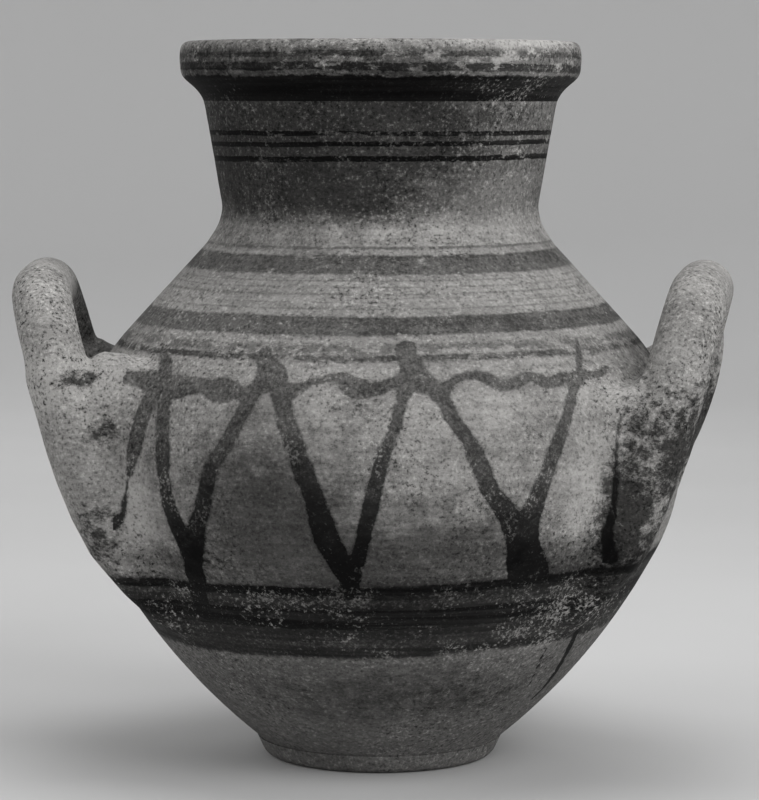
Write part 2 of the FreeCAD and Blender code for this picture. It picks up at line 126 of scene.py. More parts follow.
# %% Set the camera
CAMERA_DISTANCE = 1.998
CAMERA_HEIGHT = 0.4147
CAMERA_SIDESTEP = 3.3 * MM
CAMERA_AZIMUTH = math.radians(2.5)
CAMERA_PITCH = math.radians(5.43)
CAMERA_YAW = math.radians(0.1)
CAMERA_ROLL = math.radians(0.09)
LENS_MM = 142.8

bpy.ops.object.camera_add()
camera = bpy.context.object
camera.name = "photo_camera"
camera.data.lens = LENS_MM
camera.data.sensor_width = 36.0
camera.data.clip_end = 50.0
around_jar = Matrix.Rotation(CAMERA_AZIMUTH, 4, "Z")
look = (Matrix.Rotation(CAMERA_YAW, 4, "Z") @ Matrix.Rotation(math.pi / 2 - CAMERA_PITCH, 4, "X")
        @ Matrix.Rotation(CAMERA_ROLL, 4, "Z"))
stand = Matrix.Translation((CAMERA_SIDESTEP, -CAMERA_DISTANCE, CAMERA_HEIGHT))
camera.matrix_world = around_jar @ stand @ look
bpy.context.scene.camera = camera
print("camera at", [round(v, 3) for v in camera.matrix_world.translation])

# %% [markdown]
# ## Soft light
# Two large soft lamps stand at the jar's sides and a broad one hangs above, because the
# photograph shows light on both shoulders, more on the right, and no hard shadow. A weak
# lamp behind keeps the far side from going dark when the jar is seen from there.

# %% Set the lamps
def go_to(mode):
    bpy.ops.object.mode_set(mode=mode)


def deselect():
    if bpy.context.object and bpy.context.object.mode == "EDIT":
        go_to("OBJECT")
    bpy.ops.object.select_all(action="DESELECT")


def pick(piece):
    """Makes a piece the only selected one, and the active one."""
    deselect()
    piece.select_set(True)
    bpy.context.view_layer.objects.active = piece


def soft_lamp(name, place, aim, size, power):
    """A large square lamp that looks at a point on the jar."""
    deselect()
    bpy.ops.object.light_add(type="AREA", location=place)
    lamp = bpy.context.object
    lamp.name = name
    lamp.data.shape = "SQUARE"
    lamp.data.size = size
    lamp.data.energy = power
    lamp.rotation_euler = (Vector(aim) - Vector(place)).to_track_quat("-Z", "Y").to_euler()
    return lamp


BELLY_MIDDLE = (0.0, 0.0, 0.22)
soft_lamp("right_lamp", (1.5, -1.3, 1.6), BELLY_MIDDLE, 1.7, 36.0)
soft_lamp("left_lamp", (-1.9, -0.6, 1.6), BELLY_MIDDLE, 1.3, 12.5)
soft_lamp("top_lamp", (0.1, 0.2, 2.4), BELLY_MIDDLE, 1.6, 22.0)
soft_lamp("back_lamp", (-0.4, 2.0, 1.7), BELLY_MIDDLE, 1.6, 10.0)
world = bpy.data.worlds.new("studio_air")
bpy.context.scene.world = world
world.use_nodes = True
world.node_tree.nodes["Background"].inputs["Color"].default_value = (1.0, 1.0, 1.0, 1.0)
world.node_tree.nodes["Background"].inputs["Strength"].default_value = 0.3
bpy.context.scene.view_settings.view_transform = "Standard"

# %% [markdown]
# ## A hand-made surface
# Nothing on a coil-built pot is quite round. Wall, neck, rim and handles all get the
# same small field of slow dents, finger ripples and turning lines, so that neighbours
# still meet. The field only pushes inwards, which keeps the jar inside its solids' box.

# %% The field of dents and ripples
SLOW_DENT = 1.2 * MM
DENT_SPREAD = 0.11
DENT_SHIFT = Vector((3.1, 0.7, 5.2))
FINGER_RIPPLE = 0.35 * MM
RIPPLE_ROUND, RIPPLE_UP = 0.05, 0.014
TURNING_LINE = 0.16 * MM
LINE_ROUND, LINE_UP = 0.4, 0.0035
STILL_RADIUS = 20 * MM
FULL_PUSH_RADIUS = 60 * MM


def inward_push(place):
    """How far a point of the wall is pushed towards the axis."""
    slow = noise.noise(place / DENT_SPREAD + DENT_SHIFT)
    ripple = noise.noise(Vector((place.x / RIPPLE_ROUND, place.y / RIPPLE_ROUND,
                                 place.z / RIPPLE_UP)))
    line = noise.noise(Vector((place.x / LINE_ROUND, place.y / LINE_ROUND, place.z / LINE_UP)))
    return (SLOW_DENT * (0.5 + 0.5 * slow) + FINGER_RIPPLE * (0.5 + 0.5 * ripple)
            + TURNING_LINE * (0.5 + 0.5 * line))


def shape_by_hand(piece):
    """Moves each point of a piece inwards by the field, less near the axis."""
    for point in piece.data.vertices:
        radius = point.co.xy.length
        if radius > STILL_RADIUS:
            push = inward_push(point.co) * min(1.0, radius / FULL_PUSH_RADIUS)
            point.co.xy *= (radius - push) / radius
    piece.data.update()


# %% [markdown]
# ## Turning the wall
# The joints between the five courses are smoothed over, so one piece stands for them
# all. It starts as a ring of points, as many as the wall's cross-section has, which
# are pulled to the section's outline. Spin then carries the section round the axis,
# as a wheel carries clay past a template. Body, neck and rim meet in level faces
# inside the wall, where nobody sees them.

# %% Spin a cross-section round the axis
ROUND_STEPS = 360
RING_GAP = 3 * MM
SEED_RADIUS = 0.01
SMOOTH_ANGLE = math.radians(50)


def wall_section(low, high):
    """The wall's cross-section between two levels: outer side, then a coarser inner side."""
    count = max(2, int(round((high - low) / RING_GAP)) + 1)
    rises = np.linspace(low, high, count)
    return ([(outer(z), z) for z in rises] + [(inner(z), z) for z in rises[::-1][::2]])


def fill_open_edges():
    """Fills every hole of the piece that is being edited."""
    bpy.ops.mesh.select_mode(type="EDGE")
    bpy.ops.mesh.select_all(action="DESELECT")
    bpy.ops.mesh.select_non_manifold()
    bpy.ops.mesh.fill_holes(sides=0)


def leave_edit_mode():
    """Turns all faces outwards first."""
    bpy.ops.mesh.select_all(action="SELECT")
    bpy.ops.mesh.normals_make_consistent(inside=False)
    go_to("OBJECT")


def turned(name, section, steps=ROUND_STEPS, angle=2 * math.pi):
    """A ring, or a part of one with closed ends, spun from a closed section."""
    deselect()
    bpy.ops.mesh.primitive_circle_add(vertices=len(section), radius=SEED_RADIUS)
    piece = bpy.context.object
    piece.name = name
    piece.data.name = name
    order = ring_order(piece)
    for index, (radius, level) in zip(order, section):
        piece.data.vertices[index].co = (radius, 0.0, level)
    go_to("EDIT")
    bpy.ops.mesh.select_mode(type="VERT")
    bpy.ops.mesh.select_all(action="SELECT")
    bpy.ops.mesh.spin(steps=steps, angle=angle, center=(0, 0, 0), axis=(0, 0, 1))
    if angle < 2 * math.pi:
        fill_open_edges()
        bpy.ops.mesh.select_mode(type="VERT")
    bpy.ops.mesh.select_all(action="SELECT")
    bpy.ops.mesh.remove_doubles(threshold=1e-6)
    leave_edit_mode()
    return piece


def ring_order(piece):
    """The ring's point numbers in the order in which its edges join them."""
    neighbours = {}
    for edge in piece.data.edges:
        a, b = edge.vertices
        neighbours.setdefault(a, []).append(b)
        neighbours.setdefault(b, []).append(a)
    order, last = [0], None
    while len(order) < len(neighbours):
        here = order[-1]
        following = [n for n in neighbours[here] if n != last][0]
        last = here
        order.append(following)
    return order


def finish_piece(piece, slot_name, *nodes):
    """Smooths the shading and ties the piece to the frame."""
    pick(piece)
    bpy.ops.object.shade_smooth_by_angle(angle=SMOOTH_ANGLE)
    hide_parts(*nodes)
    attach(piece, "root")
    print(piece.name, "has", sum(len(f.vertices) - 2 for f in piece.data.polygons), "triangles")
    return piece


groove_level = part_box("neck_collar")[0].z
body_wall = turned("body_wall", wall_section(foot_top, groove_level))
shape_by_hand(body_wall)
finish_piece(body_wall, "body_clay", *BODY_COURSES)
neck = turned("neck", wall_section(groove_level, rim_low))
shape_by_hand(neck)
finish_piece(neck, "neck_clay", "neck_wall", "neck_collar")

# %% [markdown]
# ## The rim and the foot
# The rim is a thick coil, turned smooth, with a level top that is rounded at both
# edges. The foot is a plain disc. Both are drawn as a section with rounded corners
# and spun like the wall.

# %% Turn the rim
def rounded(corners, radii, steps=6):
    """The section's corners (radius, level), each replaced by a small curve."""
    section = []
    count = len(corners)
    for index, reach in enumerate(radii):
        here = Vector(corners[index])
        before, after = Vector(corners[index - 1]), Vector(corners[(index + 1) % count])
        if reach == 0:
            section.append(tuple(here))
            continue
        start = here + (before - here).normalized() * reach
        end = here + (after - here).normalized() * reach
        for step in range(steps + 1):
            t = step / steps
            section.append(tuple(start * (1 - t) ** 2 + here * 2 * t * (1 - t) + end * t * t))
    return section


LIP_DEPTH = 8 * MM
LIP_INSET = 1.2 * MM
OUTER_ROUNDING, INNER_ROUNDING = 6 * MM, 5 * MM
THROAT_DEPTH, INSIDE_DEPTH = 12 * MM, 16 * MM
OUTSIDE_GAP, INSIDE_GAP = 2 * MM, 4 * MM
lip_inner = inner(jar_top - LIP_DEPTH)
rim_face = [(outer(z), z) for z in np.arange(rim_low, jar_top - LIP_DEPTH, OUTSIDE_GAP)]
rim_top = rounded([rim_face[-1], (rim_radius - LIP_INSET, jar_top), (lip_inner, jar_top),
                   (inner(jar_top - THROAT_DEPTH), jar_top - THROAT_DEPTH)],
                  [0, OUTER_ROUNDING, INNER_ROUNDING, 0], 8)
rim_inside = [(inner(z), z) for z in np.arange(jar_top - INSIDE_DEPTH, rim_low, -INSIDE_GAP)]
rim_section = rim_face[:-1] + rim_top + rim_inside + [(inner(rim_low), rim_low)]
rim = turned("rim", rim_section)
shape_by_hand(rim)
finish_piece(rim, "neck_clay", "rim_coil")

# %% Turn the foot
FOOT_TAPER = 4 * MM
FOOT_WAIST = 0.7
AXIS_HOLE = 0.02
AXIS_REACH = 0.021
foot_corners = [(AXIS_HOLE, 0.0), (foot_radius - FOOT_TAPER, 0.0),
                (foot_radius, foot_top * FOOT_WAIST), (outer(foot_top), foot_top),
                (AXIS_HOLE, foot_top)]
foot_section = rounded(foot_corners, [0, 5 * MM, 3 * MM, 0, 0])
foot = turned("foot", foot_section)


def close_ring(piece):
    """Closes the small holes that the spin leaves at the axis."""
    pick(piece)
    go_to("EDIT")
    bpy.ops.mesh.select_mode(type="FACE")
    bpy.ops.mesh.select_all(action="DESELECT")
    go_to("OBJECT")
    for face in piece.data.polygons:
        face.select = all(piece.data.vertices[i].co.xy.length < AXIS_REACH
                          for i in face.vertices)
    go_to("EDIT")
    bpy.ops.mesh.delete(type="FACE")
    bpy.ops.mesh.select_mode(type="EDGE")
    bpy.ops.mesh.select_all(action="DESELECT")
    bpy.ops.mesh.select_non_manifold()
    bpy.ops.mesh.edge_face_add()
    leave_edit_mode()


close_ring(foot)
finish_piece(foot, "foot_clay", "base_disc", "floor_coil")

# %% [markdown]
# ## The floor
# The jar stands on pale paper that is level around it and curves up far away on all
# sides, so no horizon shows from any side. It is turned from a section as well.

# %% Turn the floor
FLOOR_FLAT = 2.4
FLOOR_CURVE = 2.0
FLOOR_WALL = 4.0
FLOOR_THICKNESS = 0.05


def floor_section():
    """The paper's section, up its inside and back along its underside."""
    turns = np.radians(np.arange(0, 91, 5))
    middle = Vector((FLOOR_FLAT, FLOOR_CURVE))
    sides = []
    for reach in (FLOOR_CURVE, FLOOR_CURVE + FLOOR_THICKNESS):
        curve = [tuple(middle + reach * Vector((math.sin(a), -math.cos(a)))) for a in turns]
        sides.append([(AXIS_HOLE, curve[0][1])] + curve + [(curve[-1][0], FLOOR_WALL)])
    return sides[0] + sides[1][::-1]


floor = turned("floor_paper", floor_section(), steps=120)
close_ring(floor)
bpy.ops.object.shade_smooth_by_angle(angle=SMOOTH_ANGLE)

# %% [markdown]
# ## The two loop handles
# Each handle is a rolled rope of clay, bent to an upright U. Its two ends were
# flattened and pressed down the wall, and the crook behind each arm was filled with
# a wad of clay, smoothed with one stroke of a finger. The rope is drawn as a ring
# that is extruded from station to station. The rope, the wads, thin pads of pressed
# clay and a slice of the wall then melt into one skin by a voxel remesh, and the
# smoothing leaves the soft fillets that a wet finger leaves. The far arm of the right
# handle has a low swelling as well.

# %% Where the handles stand and how thick they are
RING_POINTS = 28
ROPE_RADIUS = 18.5 * MM
ARM_Y = 82 * MM
CORNER_RADIUS = 50 * MM
LEAN = math.radians(14.5)
SWING = math.radians(5.7)
loop_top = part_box("handle_left")[1].z - ROPE_RADIUS

# arms: height, distance from the axis, half width and half depth of the rope, in mm
left_handle_plan = {
    "name": "left_handle", "turn": math.pi + SWING, "reach": 211 * MM, "wad_x": 165.5 * MM,
    "stroke_levels": (251.5 * MM, 261.5 * MM), "lump": None,
    "arms": [(90, 107, 12, 8), (98, 120, 16, 12), (108, 129, 20, 17), (128, 147, 24, 19),
             (150, 163.5, 27, 20.5), (170, 172.5, 28.5, 21.5), (190, 180, 29, 22),
             (208, 186, 28, 22), (226, 191.5, 25, 21.5), (250, 200, 20.5, 20)]}
right_handle_plan = {
    "name": "right_handle", "turn": -SWING, "reach": 203 * MM, "wad_x": 157.5 * MM,
    "stroke_levels": (242 * MM, 251.5 * MM), "lump": (194 * MM, 86 * MM, 222 * MM),
    "arms": [(90, 105, 12, 8), (98, 118, 16, 12), (108, 126, 20, 16), (128, 143, 24, 18),
             (150, 159, 27, 19), (170, 167, 28.5, 20), (190, 174, 29, 20),
             (208, 180, 28, 20), (226, 185, 25.5, 20), (250, 192.5, 20.5, 20)]}


def rope_stations(plan):
    """Centre and half sizes of the rope at each station, up one arm and down the other."""
    up = [(Vector((x * MM, -ARM_Y, z * MM)), wide * MM, deep * MM)
          for z, x, wide, deep in plan["arms"]]
    over = []
    flat = ARM_Y - CORNER_RADIUS
    for angle in range(15, 91, 15):
        a = math.radians(angle)
        drop = CORNER_RADIUS * (1 - math.sin(a))
        over.append((Vector((plan["reach"] - drop * math.sin(LEAN),
                             -flat - CORNER_RADIUS * math.cos(a),
                             loop_top - drop * math.cos(LEAN))), ROPE_RADIUS, ROPE_RADIUS))
    half = up + over
    other = [(Vector((place.x, -place.y, place.z)), wide, deep) for place, wide, deep in half]
    return half + [(Vector((plan["reach"], 0, loop_top)), ROPE_RADIUS, ROPE_RADIUS)] + other[::-1]


def rope(plan):
    """A ring extruded through all the stations, closed at both ends."""
    stations = rope_stations(plan)
    places = [station[0] for station in stations]
    facing = Vector((math.cos(LEAN), 0.0, -math.sin(LEAN)))
    deselect()
    bpy.ops.mesh.primitive_circle_add(vertices=RING_POINTS, radius=SEED_RADIUS)
    piece = bpy.context.object
    order = ring_order(piece)
    for number, (place, wide, deep) in enumerate(stations):
        if number:
            go_to("EDIT")
            bpy.ops.mesh.extrude_region_move(TRANSFORM_OT_translate={"value": (0, 0, 0.01)})
            go_to("OBJECT")
        before, after = places[max(0, number - 1)], places[min(len(places) - 1, number + 1)]
        along = (after - before).normalized()
        out = (facing - along * facing.dot(along)).normalized()
        side = along.cross(out)
        for step, index in enumerate(order):
            turn = 2 * math.pi * step / RING_POINTS
            point = piece.data.vertices[number * RING_POINTS + index]
            point.co = place + side * wide * math.cos(turn) + out * deep * math.sin(turn)
    go_to("EDIT")
    fill_open_edges()
    leave_edit_mode()
    return piece


# %% Make the wads and melt everything together
def apply_modifier(piece, kind, **settings):
    pick(piece)
    modifier = piece.modifiers.new(kind.lower(), kind)
    for key, value in settings.items():
        setattr(modifier, key, value)
    bpy.ops.object.modifier_apply(modifier=modifier.name)


def cut_away(piece, tool, solver="EXACT"):
    """Takes the tool's shape out of the piece and throws the tool away."""
    apply_modifier(piece, "BOOLEAN", operation="DIFFERENCE", object=tool, solver=solver)
    bpy.data.objects.remove(tool)


def lump_of_clay(place, half_sizes, slope=0.0):
    deselect()
    bpy.ops.mesh.primitive_uv_sphere_add(segments=40, ring_count=24, radius=1.0, location=place,
                                         rotation=(0, slope, 0))
    piece = bpy.context.object
    piece.scale = half_sizes
    bpy.ops.object.transform_apply(location=True, rotation=True, scale=True)
    return piece


WAD_HALF_SIZES = (28 * MM, 23 * MM, 36 * MM)
WAD_LEVEL = 227.5 * MM
LUMP_HALF_SIZES = (13 * MM, 13 * MM, 52 * MM)
ARM_SLOPE = math.radians(18)
FINGER_RADIUS = 18 * MM
FINGER_LENGTH = 0.12
FINGER_INSET = 1 * MM


def crook_wad(plan, side, stroke_level):
    """A lump in the crook of one arm, hollowed by a finger drawn through the loop."""
    wad = lump_of_clay((plan["wad_x"], side * ARM_Y, WAD_LEVEL), WAD_HALF_SIZES)
    bpy.ops.mesh.primitive_cylinder_add(
        vertices=48, radius=FINGER_RADIUS, depth=FINGER_LENGTH, rotation=(math.pi / 2, 0, 0),
        location=(plan["wad_x"] - FINGER_INSET, side * ARM_Y, stroke_level + FINGER_RADIUS))
    cut_away(wad, bpy.context.object)
    return wad


SLICE_GAP = 4 * MM
LEAST_RADIUS = 4 * MM


def wall_slice(name, inset, thickness, low, high, reach=None):
    """A slice of the body's wall, a little inside its surface, to melt into or to cut with."""
    rises = np.linspace(low, high, int((high - low) / SLICE_GAP))
    section = ([(outer(z) - inset, z) for z in rises]
               + [(max(LEAST_RADIUS, outer(z) - inset - thickness), z)
                  for z in rises[::-1][::3]])
    if reach is None:
        return turned(name, section)
    piece = turned(name, section, steps=80, angle=2 * reach)
    ends = [math.atan2(v.co.y, v.co.x) for v in piece.data.vertices]
    turn_and_apply(piece, -(min(ends) + max(ends)) / 2)
    return piece


def turn_and_apply(piece, angle):
    pick(piece)
    piece.rotation_euler = (0, 0, angle)
    bpy.ops.object.transform_apply(location=True, rotation=True, scale=True)


# slices of the wall: inset, thickness, lowest and highest level
MELTED_SLICE = (1 * MM, 16 * MM, 80 * MM, 322 * MM)
MELTED_REACH = math.radians(44)
PRESSED_SLICE = (-3.5 * MM, 12 * MM, 122 * MM, 256 * MM)
PRESSED_REACH = math.radians(11.5)
PRESSED_MIDDLE = math.radians(26)
CORE_SLICE = (0.3 * MM, 60 * MM, 60 * MM, 325 * MM)
MELT_NEAR = 6 * MM
MELT_FAR = 24 * MM
VOXEL, QUICK_VOXEL = 1.6 * MM, 3.0 * MM
SKIN_STEPS, QUICK_SKIN_STEPS = 12, 4
ROOT_STEPS, QUICK_ROOT_STEPS = 80, 24


def handle_parts(plan):
    """The rope, the slice of wall, the wads and the pressed clay of one handle."""
    parts = [rope(plan), wall_slice("slice", *MELTED_SLICE, MELTED_REACH)]
    for side, level in zip((-1, 1), plan["stroke_levels"]):
        parts.append(crook_wad(plan, side, level))
        pressed = wall_slice("pressed", *PRESSED_SLICE, PRESSED_REACH)
        turn_and_apply(pressed, side * PRESSED_MIDDLE)
        parts.append(pressed)
    if plan["lump"]:
        parts.append(lump_of_clay(plan["lump"], LUMP_HALF_SIZES, ARM_SLOPE))
    return parts


def joined(parts, name):
    """Joins the parts into the first one."""
    deselect()
    for part in parts:
        part.select_set(True)
    bpy.context.view_layer.objects.active = parts[0]
    bpy.ops.object.join()
    parts[0].name = name
    parts[0].data.name = name
    return parts[0]


def weigh_near_wall(handle):
    """A smoothing weight for each point: 1 by the wall, 0 out on the loop."""
    near_wall = handle.vertex_groups.new(name="near_wall")
    for point in handle.data.vertices:
        gap = point.co.xy.length - outer(point.co.z)
        weight = min(1.0, max(0.0, 1.0 - (gap - MELT_NEAR) / (MELT_FAR - MELT_NEAR)))
        near_wall.add([point.index], weight, "REPLACE")


def melted_handle(plan):
    """One skin from all the parts, with its back cut on the wall's outline."""
    handle = joined(handle_parts(plan), plan["name"])
    size = VOXEL
    apply_modifier(handle, "REMESH", mode="VOXEL", voxel_size=size)
    apply_modifier(handle, "SMOOTH", factor=0.5,
                   iterations=SKIN_STEPS)
    weigh_near_wall(handle)
    apply_modifier(handle, "SMOOTH", factor=0.5, vertex_group="near_wall",
                   iterations=ROOT_STEPS)
    turn_and_apply(handle, plan["turn"])
    cut_away(handle, wall_slice("core", *CORE_SLICE), "MANIFOLD")
    return handle


handles = []
for plan in (left_handle_plan, right_handle_plan):
    handle = melted_handle(plan)
    handles.append(handle)
    shape_by_hand(handle)
    side = plan["name"].split("_")[0]
    finish_piece(handle, "handle_clay", "handle_" + side, side + "_front_wad", side + "_back_wad")
    low, high = [Vector(f(v.co[i] for v in handle.data.vertices) for i in range(3))
                 for f in (min, max)]
    print(handle.name, "spans", [round(v, 4) for v in low], [round(v, 4) for v in high])

# %% [markdown]
# ## The brush strokes
# The potter hung a zigzag of long strokes from a wavy line, in one dark slip and with
# one brush. A stroke is written down as a few places on its middle line, each with an
# azimuth, a height and half the stroke's width. Every point of the wall then keeps
# how deep it lies inside the nearest stroke, and the material finds the edge in it.

# %% The strokes, as (azimuth in degrees, height in mm, half width in mm)
WAVY_LINE = [
    (-56.7, 248.5, 3.7), (-52.5, 248.3, 4.2), (-48.5, 247.1, 7.0), (-44.9, 245.2, 7.6),
    (-41.7, 244.1, 8.0), (-39.1, 244.9, 8.1), (-36.6, 246.2, 6.5), (-34.2, 246.6, 5.2),
    (-31.5, 245.1, 6.5), (-29.1, 244.6, 8.5), (-26.8, 244.1, 7.0), (-24.7, 244.4, 4.0),
    (-22.7, 245.7, 3.7), (-20.9, 249.3, 5.6), (-18.7, 248.1, 4.8), (-16.6, 247.8, 4.2),
    (-14.5, 246.0, 5.1), (-12.6, 247.8, 4.1), (-10.8, 250.7, 2.5), (-8.9, 252.7, 2.4),
    (-7.0, 253.4, 3.0), (-5.1, 253.5, 3.9), (-3.0, 249.4, 6.8), (-1.5, 247.8, 7.1),
    (0.8, 247.6, 4.7), (2.6, 248.4, 4.8), (4.5, 250.6, 3.7), (6.4, 251.7, 4.4),
    (10.2, 250.5, 6.5), (12.1, 248.5, 5.3), (13.9, 245.4, 6.1), (16.1, 250.3, 3.3),
    (18.2, 253.5, 3.2), (21.4, 255.2, 3.1), (24.3, 252.2, 4.4), (26.1, 248.7, 4.1),
    (28.2, 248.7, 3.4), (30.6, 250.7, 4.0), (33.1, 252.6, 3.6), (35.2, 250.7, 4.5),
    (36.8, 248.5, 3.9), (39.4, 249.8, 4.5), (41.5, 251.7, 3.5), (43.8, 249.3, 5.1),
    (47.2, 252.2, 2.7), (50.0, 251.4, 3.1), (54.8, 255.1, 1.1)]
ZIGZAG = [
    [(-46.2, 240.3, 5.2), (-46.7, 229.8, 5.6), (-47.2, 217.0, 5.4), (-47.7, 204.0, 5.2),
     (-48.1, 193.0, 3.2)],
    [(-52.4, 267.9, 1.7), (-49.7, 263.1, 3.0), (-45.9, 255.7, 4.8), (-45.0, 247.8, 6.9),
     (-42.7, 236.7, 5.6), (-40.9, 219.7, 6.2), (-40.0, 202.4, 6.3), (-39.4, 190.7, 5.4),
     (-38.1, 170.1, 6.3), (-36.2, 156.0, 7.3), (-35.5, 136.9, 7.4), (-36.8, 123.7, 7.5),
     (-38.1, 109.1, 7.4)],
    [(-22.2, 266.9, 4.6), (-20.5, 257.1, 6.0), (-21.2, 248.7, 5.4), (-23.0, 236.5, 5.0),
     (-24.7, 222.9, 5.4), (-26.5, 211.1, 5.2), (-28.8, 199.1, 5.5), (-30.2, 181.2, 5.9),
     (-32.6, 162.6, 7.0), (-34.1, 149.9, 7.2), (-36.3, 133.5, 7.2)],
    [(-21.5, 262.0, 5.6), (-18.5, 256.2, 6.7), (-16.0, 240.9, 6.3), (-14.6, 229.8, 6.0),
     (-13.1, 218.7, 6.2), (-10.9, 201.8, 6.6), (-8.8, 184.7, 6.6), (-7.4, 167.1, 8.2),
     (-5.0, 149.1, 7.8), (-3.3, 139.9, 7.6), (-2.8, 128.0, 5.6)],
    [(8.1, 269.2, 7.4), (8.2, 260.0, 5.6), (7.3, 247.3, 4.4), (6.1, 236.2, 3.8),
     (5.3, 225.1, 3.8), (3.7, 214.0, 4.4), (2.2, 198.0, 5.0), (0.9, 179.3, 5.2),
     (-0.6, 158.5, 4.8), (-1.4, 149.3, 5.0), (-2.7, 136.8, 5.2)],
    [(9.4, 262.6, 5.4), (11.6, 252.9, 5.2), (14.6, 241.5, 4.8), (16.0, 230.3, 4.8),
     (18.5, 218.8, 5.0), (20.3, 205.0, 6.0), (22.2, 190.0, 6.0), (25.0, 178.0, 6.8),
     (27.6, 165.2, 8.2), (28.9, 155.8, 9.2), (29.5, 146.5, 9.4), (30.3, 133.0, 7.0)],
    [(51.3, 272.1, 1.4), (49.4, 265.6, 2.7), (46.3, 254.6, 3.0), (43.2, 246.0, 3.7),
     (40.8, 235.5, 3.7), (39.0, 227.3, 4.0), (36.6, 216.3, 4.8), (34.6, 205.1, 5.3),
     (32.9, 193.8, 5.5), (31.5, 182.3, 6.6), (30.0, 169.0, 8.4), (30.6, 155.5, 8.6),
     (33.0, 145.7, 7.0), (35.4, 135.6, 5.9)]]
# Dark lines down the front edges of both handle roots: brush lines and painted shadow where the
# root meets the wall.
ROOT_LINES_AND_SHADOW = [
    [(-48.6, 188.0, 1.2), (-49.6, 174.9, 1.9), (-51.5, 155.7, 2.2), (-54.5, 138.3, 2.0)],
    [(53.3, 240.6, 1.2), (50.4, 219.1, 1.6), (49.0, 193.0, 2.4), (48.6, 168.9, 3.4),
     (48.3, 156.8, 3.8), (49.5, 142.0, 4.0)]]
RUNS = [
    [(44.5, 96.0, 1.8), (47.5, 76.0, 1.8), (50.5, 56.0, 1.4)],
    [(54.2, 114.3, 5.0), (55.5, 93.3, 3.6), (58.8, 72.0, 3.0), (61.4, 54.0, 2.8),
     (60.3, 44.0, 2.0)]]
front_strokes = [WAVY_LINE] + ZIGZAG + ROOT_LINES_AND_SHADOW + RUNS
back_strokes = [[(180.0 - az, z, half) for az, z, half in stroke] for stroke in front_strokes[:-2]]
STROKE_REACH = 8 * MM
SUB_STEPS = 4
UNDER_SKIN = 4 * MM
OVER_SKIN = 12 * MM
NEVER_ZERO = 1e-12


def smooth_stroke(stroke):
    """A rounded line through a stroke's places: azimuth, way along the wall, half width."""
    given = np.array([(math.radians(az), np.interp(z * MM, levels, along_wall), half * MM)
                      for az, z, half in stroke])
    padded = np.vstack([2 * given[0] - given[1], given, 2 * given[-1] - given[-2]])
    places = []
    for p0, p1, p2, p3 in zip(padded, padded[1:], padded[2:], padded[3:]):
        for t in np.arange(SUB_STEPS) / SUB_STEPS:
            places.append(0.5 * (2 * p1 + (p2 - p0) * t + (2 * p0 - 5 * p1 + 4 * p2 - p3) * t * t
                                 + (3 * p1 - p0 - 3 * p2 + p3) * t ** 3))
    return np.array(places + [given[-1]])


def wall_points(piece):
    """Azimuth (0 in front), way along the wall, radius and height of a piece's points."""
    co = np.zeros(len(piece.data.vertices) * 3)
    piece.data.vertices.foreach_get("co", co)
    co = co.reshape(-1, 3)
    return (np.arctan2(co[:, 0], -co[:, 1]), np.interp(co[:, 2], levels, along_wall),
            np.hypot(co[:, 0], co[:, 1]), co[:, 2])


def keep_on_points(piece, name, values):
    attribute = piece.data.attributes.new(name, "FLOAT", "POINT")
    attribute.data.foreach_set("value", values.astype(np.float32))


def paint_strokes(piece, strokes):
    """Keeps on each point how deep it lies in a stroke: 0.5 is the edge, 1 is well inside."""
    azimuth, way, radius, height = wall_points(piece)
    skin = np.interp(height, levels, outer_radii)
    on_outside = (radius > skin - UNDER_SKIN) & (radius < skin + OVER_SKIN)
    depth = np.full(len(azimuth), -STROKE_REACH)
    for stroke in strokes:
        line = smooth_stroke(stroke)
        for (a0, w0, h0), (a1, w1, h1) in zip(line, line[1:]):
            turn = (azimuth - a0 + math.pi) % (2 * math.pi) - math.pi
            x, y = turn * radius, way - w0
            bx, by = (a1 - a0) * radius, w1 - w0
            t = np.clip((x * bx + y * by) / (bx * bx + by * by + NEVER_ZERO), 0, 1)
            inside = h0 + (h1 - h0) * t - np.hypot(x - bx * t, y - by * t)
            depth = np.maximum(depth, inside)
    share = np.where(on_outside, np.clip(0.5 + depth / (2 * STROKE_REACH), 0, 1), 0)
    keep_on_points(piece, "brush", share)
    print(piece.name, "has", int((share > 0.5).sum()), "points under brush strokes")


paint_strokes(body_wall, front_strokes + back_strokes)
for handle in handles:
    paint_strokes(handle, front_strokes + back_strokes)
